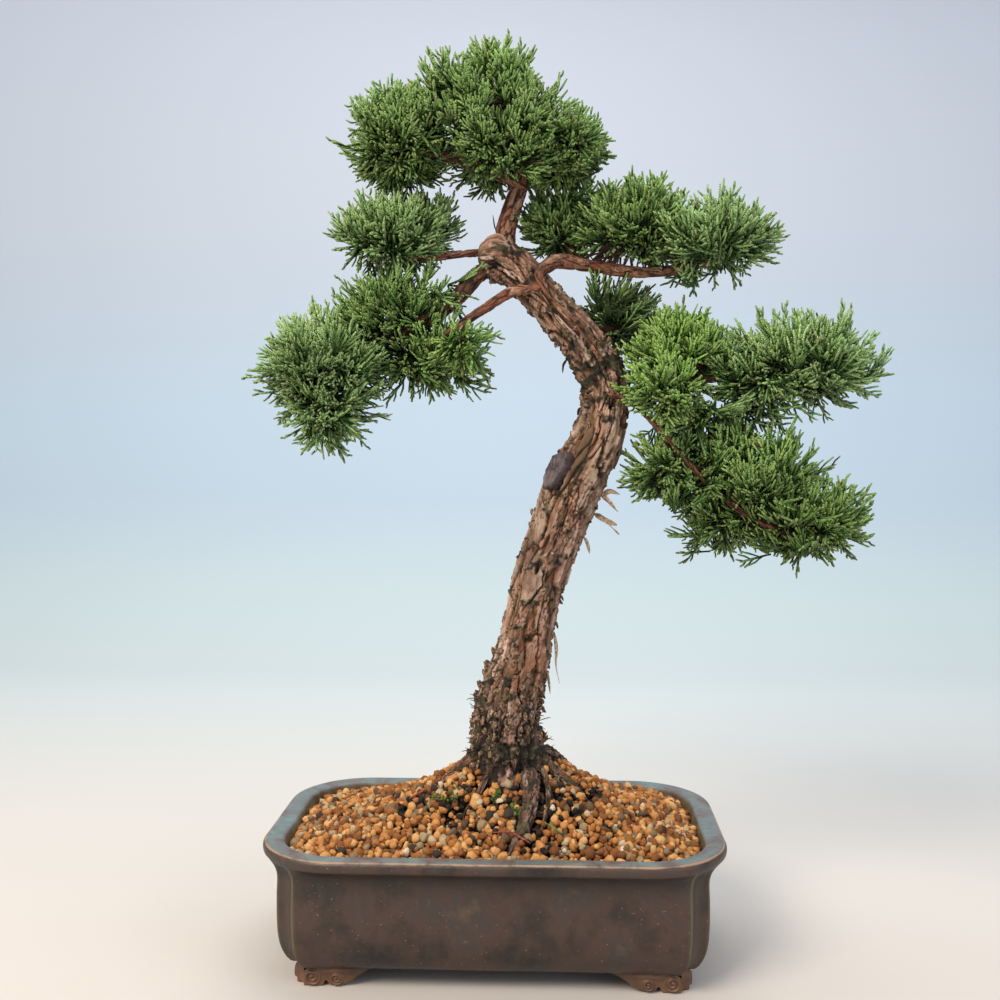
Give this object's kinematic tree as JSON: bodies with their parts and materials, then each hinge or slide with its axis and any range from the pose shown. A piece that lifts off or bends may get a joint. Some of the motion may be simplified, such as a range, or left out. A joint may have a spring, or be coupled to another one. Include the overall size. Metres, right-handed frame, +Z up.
{
  "type": "bonsai tree in a pot",
  "caption": "Curved juniper bonsai with separate foliage pads, planted in mounded clay granules in an oblong glazed stoneware pot with indented corners and scroll feet.",
  "frame": {"origin": "middle of the bounding box in plan, on the ground plane under the pot's feet", "axes": "+Z up, +X along the pot's long side towards the longer branches, -Y the tree's front"},
  "size_m": [0.3002, 0.1366, 0.4477],
  "materials": {
    "stoneware": "satin",
    "granules": "matte",
    "old_bark": "matte",
    "young_bark": "matte",
    "scale_foliage": "matte",
    "cut_paste": "satin",
    "plastic_net": "matte",
    "bonsai_wire": "satin"
  },
  "bodies": {
    "root": {"anchor_wire": "bonsai_wire", "apex_branch_left": "young_bark", "apex_branch_right": "young_bark", "branch_back": "young_bark", "branch_left_lower": "young_bark", "branch_left_middle": "young_bark", "branch_left_upper": "young_bark", "branch_right_lower": "young_bark", "branch_right_middle": "young_bark", "branch_right_upper": "young_bark", "drain_mesh_left": "plastic_net", "drain_mesh_right": "plastic_net", "foliage_apex_crown": "scale_foliage", "foliage_apex_left": "scale_foliage", "foliage_apex_right": "scale_foliage", "foliage_back": "scale_foliage", "foliage_left_middle": "scale_foliage", "foliage_left_sprig": "scale_foliage", "foliage_left_tip": "scale_foliage", "foliage_left_upper": "scale_foliage", "foliage_right_front": "scale_foliage", "foliage_right_lower_inner": "scale_foliage", "foliage_right_lower_middle": "scale_foliage", "foliage_right_lower_tip": "scale_foliage", "foliage_right_middle": "scale_foliage", "foliage_right_upper_inner": "scale_foliage", "foliage_right_upper_middle": "scale_foliage", "foliage_right_upper_tip": "scale_foliage", "leader": "young_bark", "mesh_clip_left": "bonsai_wire", "mesh_clip_right": "bonsai_wire", "pot": "stoneware", "soil": "granules", "trunk_and_roots": "old_bark", "wound_seal": "cut_paste"}
  },
  "joints": []
}
